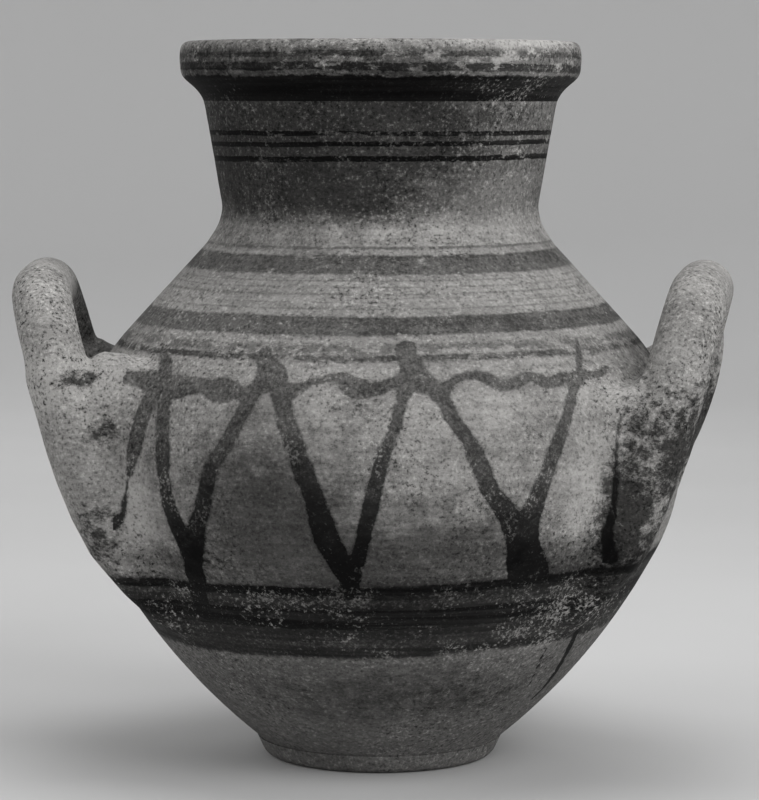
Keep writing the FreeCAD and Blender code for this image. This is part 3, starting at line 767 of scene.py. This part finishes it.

# %% [markdown]
# ## Soft smudges, painted shade and painted light
# Years of handling, smoke and salts left clouds that are lighter or darker than the
# clay, crusts with torn edges, and places where the paint is worn away. Some ovals are
# painted shade and light as well: dark ones on the neck under the rim, on the front of
# the lower belly, over both handles' far arms and in the right handle's crook; pale
# ones on the right of the neck and of the rim; and worn places at the sides of the
# band under the rim. Each is an oval on the wall, given in a list and kept on the
# points too.

# %% Smudges, painted shade and painted light on the wall: (azimuth, height in mm, half width, half height in mm, strength)
SMUDGES_AND_PAINTED_SHADE = {
    "dark_cloud_and_painted_shade": [
        # The first ovals, on the front of the belly, are dirt and painted shade together.
        (-18, 170, 60, 50, 1.1), (-26, 205, 34, 22, 0.6), (2, 144, 90, 32, 1.05),
        (10, 176, 50, 24, 0.55), (20, 205, 190, 46, 0.25), (-45, 205, 30, 30, 0.5),
        (18, 150, 60, 30, 1.0), (40, 142, 60, 18, 0.9), (-38, 140, 50, 14, 0.8),
        (-22, 228, 26, 14, 0.5),
        # Ovals at 362 to 404 mm, on the neck, are a dark wash and painted shade under the rim.
        (8, 58, 110, 30, 0.6), (-42, 392, 100, 56, 1.3), (-85, 380, 60, 46, 1.1),
        (4, 400, 60, 40, 1.4), (-8, 362, 56, 24, 1.1), (34, 404, 50, 12, 0.7),
        (95, 385, 40, 30, 0.6), (185, 385, 110, 44, 1.0), (150, 160, 60, 40, 0.8),
        (205, 180, 60, 40, 0.8), (180, 138, 110, 18, 0.9), (-74, 160, 34, 40, 0.6),
        # Painted shadow: the oval at -113 over the left handle's far arm, and the one at 90 in the
        # right handle's crook.
        (-113, 295, 56, 80, 1.15), (90, 245, 40, 26, 1.1)],
    "pale_cloud_and_painted_light": [
        (-47, 178, 14, 46, 0.9), (10, 222, 22, 34, 0.5), (24, 236, 26, 16, 0.6),
        (42, 190, 18, 48, 0.7), (12, 185, 30, 30, 0.6), (-8, 238, 30, 16, 0.5),
        (45, 240, 20, 20, 0.5), (-62, 245, 34, 24, 1.0), (170, 210, 40, 30, 0.6),
        # The ovals at 52, 358 on the neck and at 46, 440 on the rim are painted light on the
        # right.
        (215, 120, 40, 30, 0.4), (0, 336, 200, 7, 0.6), (52, 358, 40, 24, 0.8),
        (46, 440, 60, 12, 0.9), (52, 236, 14, 10, 0.8)],
    "crust_and_painted_shadow": [
        (50.5, 166, 18, 48, 1.1), (55, 146, 34, 34, 0.8), (58, 205, 30, 48, 0.9),
        (63, 240, 20, 18, 0.75), (62, 160, 26, 44, 0.65), (-56, 247, 6, 8, 0.75),
        (-52.6, 217, 5, 9, 0.85), (-54, 150, 16, 32, 0.75), (-62, 190, 12, 24, 0.35),
        # The oval at 104 on the right handle's far arm is painted shadow.
        (104, 205, 24, 46, 1.0), (39.7, 427, 4, 3.5, 1.2), (29, 150, 16, 14, 0.6),
        (-34, 150, 18, 22, 0.75), (230, 200, 20, 40, 0.7)],
    "rubbed_and_painted_light": [
        (46, 104, 50, 26, 0.62), (36, 80, 40, 16, 0.5), (-17, 120, 30, 8, 0.6),
        (-38, 186, 12, 14, 0.8), (-15, 208, 12, 10, 1.0), (3, 205, 10, 12, 0.7),
        # The ovals at 418 and 414 mm thin the dark band under the rim at its sides: painted light.
        (48, 418, 50, 14, 0.8), (-60, 414, 30, 12, 0.6), (20, 392, 40, 10, 0.5),
        (140, 100, 50, 20, 0.8), (210, 110, 40, 16, 0.8)]}


SMUDGE_FALL = 0.9


def keep_smudge_and_shade_ovals(piece, name, ovals):
    """Keeps on each point how strongly the ovals of one kind cover it."""
    azimuth, way, radius, _ = wall_points(piece)
    total = np.zeros(len(azimuth))
    for az, z, half_width, half_height, strength in ovals:
        turn = (azimuth - math.radians(az) + math.pi) % (2 * math.pi) - math.pi
        x = turn * radius / (half_width * MM)
        y = (way - np.interp(z * MM, levels, along_wall)) / (half_height * MM)
        total = np.maximum(total, strength * np.exp(-SMUDGE_FALL * (x * x + y * y)))
    keep_on_points(piece, name, total)


for piece in [body_wall, neck, rim, foot] + handles:
    for name, ovals in SMUDGES_AND_PAINTED_SHADE.items():
        keep_smudge_and_shade_ovals(piece, name, ovals)

# %% [markdown]
# ## Helpers for materials
# A material is a small web of nodes. These helpers make one node each and give back
# its output, so that a material reads like a sentence.

# %% Node helpers
def feed(tree, socket, value):
    """Gives a socket another node's output, or a plain number or colour."""
    if isinstance(value, bpy.types.NodeSocket):
        tree.links.new(value, socket)
    else:
        socket.default_value = value


def maths(tree, operation, *values):
    node = tree.nodes.new("ShaderNodeMath")
    node.operation = operation
    for socket, value in zip(node.inputs, values):
        feed(tree, socket, value)
    return node.outputs[0]


def times(tree, *values):
    return maths(tree, "MULTIPLY", *values)


def plus(tree, *values):
    return maths(tree, "ADD", *values)


def minus(tree, *values):
    return maths(tree, "SUBTRACT", *values)


def centred(tree, value):
    """How far a value lies above 0.5."""
    return minus(tree, value, 0.5)


def weighed(tree, *parts):
    """The sum of a few values, each times its weight."""
    shares = [times(tree, value, weight) for value, weight in parts]
    total = shares[0]
    for share in shares[1:]:
        total = plus(tree, total, share)
    return total


def smooth_step(tree, value, low, high, start=0.0, end=1.0):
    """Runs softly from start to end while the value goes from low to high."""
    node = tree.nodes.new("ShaderNodeMapRange")
    node.interpolation_type = "SMOOTHSTEP"
    for name, given in (("Value", value), ("From Min", low), ("From Max", high),
                        ("To Min", start), ("To Max", end)):
        feed(tree, node.inputs[name], given)
    return node.outputs["Result"]


def clay_noise(tree, place, scale, detail=3.0, rough=0.55):
    node = tree.nodes.new("ShaderNodeTexNoise")
    feed(tree, node.inputs["Vector"], place)
    feed(tree, node.inputs["Scale"], scale)
    node.inputs["Detail"].default_value = detail
    node.inputs["Roughness"].default_value = rough
    return node.outputs["Fac"]


def stretch(tree, place, x, y, z, shift=(0.0, 0.0, 0.0)):
    node = tree.nodes.new("ShaderNodeMapping")
    feed(tree, node.inputs["Vector"], place)
    node.inputs["Scale"].default_value = (x, y, z)
    node.inputs["Location"].default_value = shift
    return node.outputs["Vector"]


def shade(tree, amount, first, second, blend="MIX"):
    """Goes from the first colour to the second, or darkens it by the second, by an amount."""
    node = tree.nodes.new("ShaderNodeMix")
    node.data_type = "RGBA"
    node.blend_type = blend
    feed(tree, node.inputs["Factor"], amount)
    feed(tree, node.inputs[6], first)
    feed(tree, node.inputs[7], second)
    return node.outputs[2]


def new_group(name, inputs, outputs):
    """An empty node group with named sockets: inputs map a name to its usual value."""
    group = bpy.data.node_groups.new(name, "ShaderNodeTree")
    for label, value in inputs.items():
        kind = "NodeSocketVector" if value is None else "NodeSocketFloat"
        socket = group.interface.new_socket(label, in_out="INPUT", socket_type=kind)
        if value is not None:
            socket.default_value = value
    for label in outputs:
        group.interface.new_socket(label, in_out="OUTPUT", socket_type="NodeSocketFloat")
    entry = group.nodes.new("NodeGroupInput")
    leave = group.nodes.new("NodeGroupOutput")
    return group, entry.outputs, leave.inputs


def use_group(tree, group, **values):
    node = tree.nodes.new("ShaderNodeGroup")
    node.node_tree = group
    for label, value in values.items():
        feed(tree, node.inputs[label.replace("_", " ")], value)
    return node.outputs


def grey(level, warmth=0.02):
    """A nearly neutral grey, a touch warmer than blue."""
    return (level * (1 + warmth), level, level * (1 - 1.5 * warmth), 1.0)


# %% [markdown]
# ## Effects that every clay piece shares
# Grit shows as salt and pepper. Slip wears off in specks and along ridges. A ring is
# painted by holding a brush to the turning pot, so it tilts and wavers a little.

# %% Grit, ridges, a brushed ring and worn slip
grit, i, o = new_group("clay_grit", {"Place": None, "Coarse": 1.0}, ["Dark", "Pale", "Height"])
fine = clay_noise(grit, i["Place"], 520.0, 2.0, 0.7)
middle = clay_noise(grit, stretch(grit, i["Place"], 1, 1, 1.3, (1, 2, 3)), 260.0, 3.0, 0.65)
mixed = weighed(grit, (fine, 0.6), (middle, 0.4))
feed(grit, o["Dark"], times(grit, smooth_step(grit, mixed, 0.5, 0.33), i["Coarse"]))
feed(grit, o["Pale"], times(grit, smooth_step(grit, mixed, 0.52, 0.68), i["Coarse"]))
feed(grit, o["Height"], mixed)

ridges, i, o = new_group("turning_ridges", {"Place": None, "Per Metre": 260.0},
                         ["Tone", "Height"])
bands = clay_noise(ridges, stretch(ridges, i["Place"], 0.02, 0.02, 1), i["Per Metre"], 3.0, 0.6)
feed(ridges, o["Height"], bands)
feed(ridges, o["Tone"], smooth_step(ridges, bands, 0.35, 0.65))

hand, i, o = new_group("brush_hand", {"Place": None}, ["Waver", "Streaks"])
long_waver = clay_noise(hand, stretch(hand, i["Place"], 1, 1, 0.3), 22.0, 2.0)
edge_waver = clay_noise(hand, i["Place"], 170.0, 3.0, 0.7)
feed(hand, o["Waver"], plus(hand, centred(hand, long_waver),
                            times(hand, centred(hand, edge_waver), 1.2)))
streaky = stretch(hand, i["Place"], 1, 1, 2.2, (4, 1, 2))
feed(hand, o["Streaks"], clay_noise(hand, streaky, 60.0, 4.0, 0.7))

ring, i, o = new_group("brushed_ring", {
    "Place": None, "Waver": 0.0, "Streaks": 0.5, "Low": 0.1, "High": 0.11, "Tilt": 0.0,
    "Waver Size": 0.8, "Soft": 0.5, "Worn": 0.2, "Strength": 1.0}, ["Slip"])
axes = ring.nodes.new("ShaderNodeSeparateXYZ")
feed(ring, axes.inputs[0], i["Place"])
level = minus(ring, axes.outputs["Z"], times(ring, axes.outputs["X"], i["Tilt"]))
WAVER_REACH = 0.003
level = plus(ring, level, times(ring, i["Waver"], times(ring, i["Waver Size"], WAVER_REACH)))
soft = times(ring, i["Soft"], MM)
over_low = smooth_step(ring, level, minus(ring, i["Low"], soft), plus(ring, i["Low"], soft))
under_high = smooth_step(ring, level, plus(ring, i["High"], soft), minus(ring, i["High"], soft))
WORN_EDGE = 0.06
kept = smooth_step(ring, i["Streaks"], minus(ring, i["Worn"], WORN_EDGE),
                   plus(ring, i["Worn"], WORN_EDGE))
between = times(ring, times(ring, over_low, under_high), kept)
feed(ring, o["Slip"], times(ring, between, i["Strength"]))

strokes_group, i, o = new_group("brush_strokes", {"Place": None}, ["Slip"])
depth = strokes_group.nodes.new("ShaderNodeAttribute")
depth.attribute_name = "brush"
rough_edge = clay_noise(strokes_group, i["Place"], 190.0, 4.0, 0.7)
shifted = plus(strokes_group, depth.outputs["Fac"],
               times(strokes_group, centred(strokes_group, rough_edge), 0.3))
feed(strokes_group, o["Slip"], smooth_step(strokes_group, shifted, 0.44, 0.57))

wear, i, o = new_group("worn_slip", {"Place": None, "Slip": 0.0, "Bare": 0.5}, ["Slip", "Thin"])
specks = clay_noise(wear, i["Place"], 420.0, 4.0, 0.75)
patches = clay_noise(wear, i["Place"], 38.0, 3.0, 0.6)
both = weighed(wear, (specks, 0.65), (patches, 0.35))
limit = minus(wear, 0.72, times(wear, i["Bare"], 0.24))
gone = smooth_step(wear, both, minus(wear, limit, 0.04), plus(wear, limit, 0.05))
feed(wear, o["Slip"], times(wear, i["Slip"], minus(wear, 1.0, gone)))
lack = minus(wear, 0.8, i["Slip"])
thinning = plus(wear, both, times(wear, lack, 0.9))
feed(wear, o["Thin"], smooth_step(wear, thinning, 0.4, 0.56))
print("shared effects:", [group.name for group in bpy.data.node_groups])

# %% [markdown]
# ## The clay materials
# All pieces are the same clay, fired and worn alike, so one recipe dresses them, with
# other rings and other tones. The slip sits on the clay as a thin, darker, slightly
# smoother skin.

# %% One recipe for painted clay
CLAY = grey(0.285)
PALE_CLAY = grey(0.43)
DARK_CLAY = grey(0.06)
# Dark tones for smoke and crusts, also used for painted shade and painted shadow.
SHADE_AND_SMOKE = grey(0.14, 0.0)
SHADOW_AND_SOOT = grey(0.11, 0.0)
SLIP = grey(0.003, 0.01)
THIN_SLIP = grey(0.08, 0.02)
DARK_GRIT = grey(0.02)
PALE_GRIT = grey(0.6)
SALT_GRIT = grey(0.4)
SLIP_COVER = 0.995
SMUDGE_LEAN = 1.7
STREAK_SLIP = 0.93
BUMP_DEPTH = 0.9 * MM
# Pale ovals are salts and painted light; dark ovals are smoke, crusts, painted shade and painted
# shadow.
SALT_AND_LIGHT_LOOKS = [("pale_cloud_and_painted_light", PALE_CLAY, 0.8, 2.2, 60.0, -0.6, 0.6)]
SHADE_AND_SMOKE_LOOKS = [("dark_cloud_and_painted_shade", SHADE_AND_SMOKE, 0.86, 2.9, 72.0, -0.8, 0.75),
               ("crust_and_painted_shadow", SHADOW_AND_SOOT, 0.95, 4.6, 105.0, -0.25, 0.6)]


def kept_value(tree, name):
    """A value that the piece keeps on its points."""
    node = tree.nodes.new("ShaderNodeAttribute")
    node.attribute_name = name
    return node.outputs["Fac"]


def laid_smudges_and_shade(tree, place, colour, looks, blend="MIX"):
    """Lays smudges, painted shade and painted light over a colour: (name, tone, share, torn, fine,
    low, high) for each.
    """
    for oval_kind, tone, share, torn, fine, low, high in looks:
        clumps = clay_noise(tree, stretch(tree, place, 1, 1, 1.5, (2, 5, 3)), fine, 8.0, 0.78)
        reach = weighed(tree, (centred(tree, clumps), torn),
                        (centred(tree, kept_value(tree, oval_kind)), SMUDGE_LEAN))
        cover = smooth_step(tree, reach, low, high, 0.0, share)
        colour = shade(tree, cover, colour, tone, blend)
    return colour


def mottled(tree, place, clay, mottle, blotches):
    """The bare clay with pale and dark blotches and flecks."""
    flecks = clay_noise(tree, stretch(tree, place, 1, 1, 2.4, (7, 3, 1)), 110.0, 7.0, 0.82)
    colour = clay
    for cloud, low, high, more, tone in (
            (blotches, 0.42, 0.72, 0.0, PALE_CLAY), (blotches, 0.5, 0.25, 0.0, DARK_CLAY),
            (flecks, 0.5, 0.68, 0.15, PALE_CLAY), (flecks, 0.5, 0.32, 0.2, DARK_CLAY)):
        cover = smooth_step(tree, cloud, low, high, 0.0, mottle + more)
        colour = shade(tree, cover, colour, tone)
    return colour


def brushed_slip(tree, place, rings, strokes, turning):
    """How much slip lies on each place, from the rings and from the brush strokes."""
    slip = 0.0
    steady = use_group(tree, hand, Place=place)
    for low, high, tilt, waver, soft, worn, strength in rings:
        band = use_group(tree, ring, Place=place, Waver=steady["Waver"], Streaks=steady["Streaks"],
                         Low=low * MM, High=high * MM, Tilt=math.tan(math.radians(tilt)),
                         Waver_Size=waver, Soft=soft, Worn=worn, Strength=strength)
        slip = band["Slip"] if slip == 0.0 else maths(tree, "MAXIMUM", slip, band["Slip"])
    streaks = smooth_step(tree, turning["Tone"], 0.0, 1.0, 1.0, STREAK_SLIP)
    slip = times(tree, slip, streaks)
    if strokes:
        axes = tree.nodes.new("ShaderNodeSeparateXYZ")
        feed(tree, axes.inputs[0], place)
        load = smooth_step(tree, axes.outputs["Z"], 0.13, 0.24, 0.98, 0.8)
        drawn = times(tree, use_group(tree, strokes_group, Place=place)["Slip"], load)
        slip = maths(tree, "MAXIMUM", slip, drawn)
    return slip


def roughen(tree, shader, height):
    """Feeds a height to the shader as a small bump."""
    bump = tree.nodes.new("ShaderNodeBump")
    bump.inputs["Strength"].default_value = 0.5
    bump.inputs["Distance"].default_value = BUMP_DEPTH
    feed(tree, bump.inputs["Height"], height)
    feed(tree, shader.inputs["Normal"], bump.outputs["Normal"])


def painted_clay(name, rings=(), clay=CLAY, strokes=False, bare=0.5, mottle=0.3, ridge=0.3,
                 coarse=1.0, salt=0.1):
    """Clay with brushed rings: (low, high, tilt, waver, soft, worn, strength) for each."""
    material = bpy.data.materials.new(name)
    material.use_nodes = True
    tree = material.node_tree
    shader = tree.nodes["Principled BSDF"]
    place = tree.nodes.new("ShaderNodeTexCoord").outputs["Object"]
    patchy = smooth_step(tree, clay_noise(tree, place, 14.0, 4.0, 0.6), 0.38, 0.68, 0.6, 1.15)
    grains = use_group(tree, grit, Place=place, Coarse=times(tree, patchy, coarse))
    turning = use_group(tree, ridges, Place=place)
    blotches = clay_noise(tree, place, 26.0, 5.0, 0.62)
    colour = mottled(tree, place, clay, mottle, blotches)
    colour = shade(tree, times(tree, turning["Tone"], ridge * 0.5), colour, DARK_CLAY)
    # Pale salts, and painted light from the pale ovals.
    colour = laid_smudges_and_shade(tree, place, colour, SALT_AND_LIGHT_LOOKS)
    slip = brushed_slip(tree, place, rings, strokes, turning)
    # Worn places thin the slip; some are painted light beside the band under the rim.
    bare = plus(tree, times(tree, kept_value(tree, "rubbed_and_painted_light"), 0.55), bare)
    worn_skin = use_group(tree, wear, Place=place, Slip=slip, Bare=bare)
    slip_tone = shade(tree, worn_skin["Thin"], SLIP, THIN_SLIP)
    colour = shade(tree, times(tree, worn_skin["Slip"], SLIP_COVER), colour, slip_tone)
    colour = shade(tree, times(tree, grains["Dark"], 0.85), colour, DARK_GRIT)
    shown = times(tree, grains["Pale"],
                  smooth_step(tree, worn_skin["Slip"], 0.3, 1.0, 0.65, 0.04))
    colour = shade(tree, shown, colour, PALE_GRIT)
    # Smoke and crusts darken the colour, and so do the painted shade and shadow of the dark ovals.
    colour = laid_smudges_and_shade(tree, place, colour, SHADE_AND_SMOKE_LOOKS, "MULTIPLY")
    colour = shade(tree, times(tree, shown, salt), colour, SALT_GRIT)
    feed(tree, shader.inputs["Base Color"], colour)
    feed(tree, shader.inputs["Roughness"],
         smooth_step(tree, worn_skin["Slip"], 0.0, 1.0, 0.92, 0.74))
    shader.inputs["Specular IOR Level"].default_value = 0.08
    roughen(tree, shader, weighed(tree, (turning["Height"], ridge), (blotches, 0.8),
                                  (grains["Height"], 0.5)))
    return material


def dress(piece, material):
    piece.data.materials.clear()
    piece.data.materials.append(material)
    print(piece.name, "wears", material.name)


# %% Dress every piece
BODY_RINGS = [
    (126.1, 132.6, 1.85, 1.0, 1.0, 0.3, 1.0), (103.2, 118.3, 1.2, 1.0, 1.6, 0.28, 1.0),
    (86.3, 91.2, 1.89, 0.9, 0.8, 0.3, 0.95), (83.0, 135.0, 1.85, 1.0, 4.0, 0.1, 0.93),
    (-9.0, 86.0, 1.89, 1.0, 5.0, 0.2, 0.64),
    (310.6, 321.7, 0.3, 0.8, 0.8, 0.34, 0.82), (276.7, 287.5, 0.35, 0.8, 0.8, 0.34, 0.82),
    (262.2, 266.5, 0.3, 0.9, 1.2, 0.42, 0.85), (266.5, 272.0, 0.3, 1.0, 1.5, 0.47, 0.7),
    (324.9, 326.6, 0.3, 0.4, 0.6, 0.42, 0.7),
    (306.6, 307.5, 0.35, 0.3, 0.4, 0.44, 0.4), (302.9, 303.9, 0.35, 0.3, 0.4, 0.46, 0.4),
    (299.0, 300.2, 0.35, 0.3, 0.5, 0.42, 0.45), (294.6, 295.4, 0.35, 0.3, 0.4, 0.48, 0.4),
    (290.9, 292.0, 0.35, 0.3, 0.4, 0.42, 0.4)]
NECK_RINGS_AND_SHADE = [
    (392.1, 395.5, 0.0, 0.5, 0.5, 0.38, 1.0), (385.8, 389.2, 0.43, 0.5, 0.5, 0.34, 1.0),
    # The broad ring from 343 to 416 mm is a dark wash and painted shade under the rim.
    (376.7, 380.5, 0.42, 0.6, 0.5, 0.38, 1.0), (343.0, 416.0, 0.0, 2.0, 8.0, 0.36, 0.68)]
RIM_RINGS_AND_SHADE = [
    (438.6, 443.2, 0.0, 0.9, 0.9, 0.42, 0.9), (430.4, 436.4, -0.4, 0.9, 0.9, 0.4, 0.95),
    # The broad ring from 405 to 429 mm is dark slip and painted shade under the rim.
    (428.0, 445.0, 0.0, 1.0, 2.0, 0.44, 0.75), (405.0, 429.0, 0.0, 1.5, 1.8, 0.05, 1.0)]
dress(body_wall, painted_clay("painted_body_clay", BODY_RINGS, strokes=True, mottle=0.36,
                              ridge=0.45))
dress(neck, painted_clay("painted_neck_clay", NECK_RINGS_AND_SHADE, clay=grey(0.27), mottle=0.6, ridge=0.5,
                         coarse=1.2, salt=0.55))
dress(rim, painted_clay("painted_rim_clay", RIM_RINGS_AND_SHADE, bare=0.3, mottle=0.5, coarse=1.3,
                        clay=grey(0.27)))
dress(foot, painted_clay("foot_clay_plain", [(-9.0, 30.0, 0.0, 1.0, 2.0, 0.25, 0.55)],
                         clay=grey(0.24)))
handle_clay = painted_clay("handle_clay_worn", BODY_RINGS[:5], strokes=True, mottle=0.4,
                           ridge=0.1, coarse=1.3)
for handle in handles:
    dress(handle, handle_clay)


CLOUD_TONE = 0.96
NEAR_PAPER, FAR_PAPER = 1.2, 4.0


def plain_sheet(name, level, far_painted_light_level):
    """A matt paper-like sheet with a faint cloudiness, paler where it curves up: painted light, so
    the far paper stays bright away from the lamps.
    """
    material = bpy.data.materials.new(name)
    material.use_nodes = True
    tree = material.node_tree
    place = tree.nodes.new("ShaderNodeTexCoord").outputs["Object"]
    clouds = clay_noise(tree, place, 1.6, 3.0, 0.5)
    away = tree.nodes.new("ShaderNodeVectorMath")
    away.operation = "LENGTH"
    feed(tree, away.inputs[0], place)
    colour = shade(tree, smooth_step(tree, clouds, 0.35, 0.65),
                   grey(level * CLOUD_TONE, 0.0), grey(level, 0.0))
    colour = shade(tree, smooth_step(tree, away.outputs["Value"], NEAR_PAPER, FAR_PAPER),
                   colour, grey(far_painted_light_level, 0.0))
    shader = tree.nodes["Principled BSDF"]
    feed(tree, shader.inputs["Base Color"], colour)
    shader.inputs["Roughness"].default_value = 0.95
    return material


dress(floor, plain_sheet("floor_paper", 0.57, 0.8))
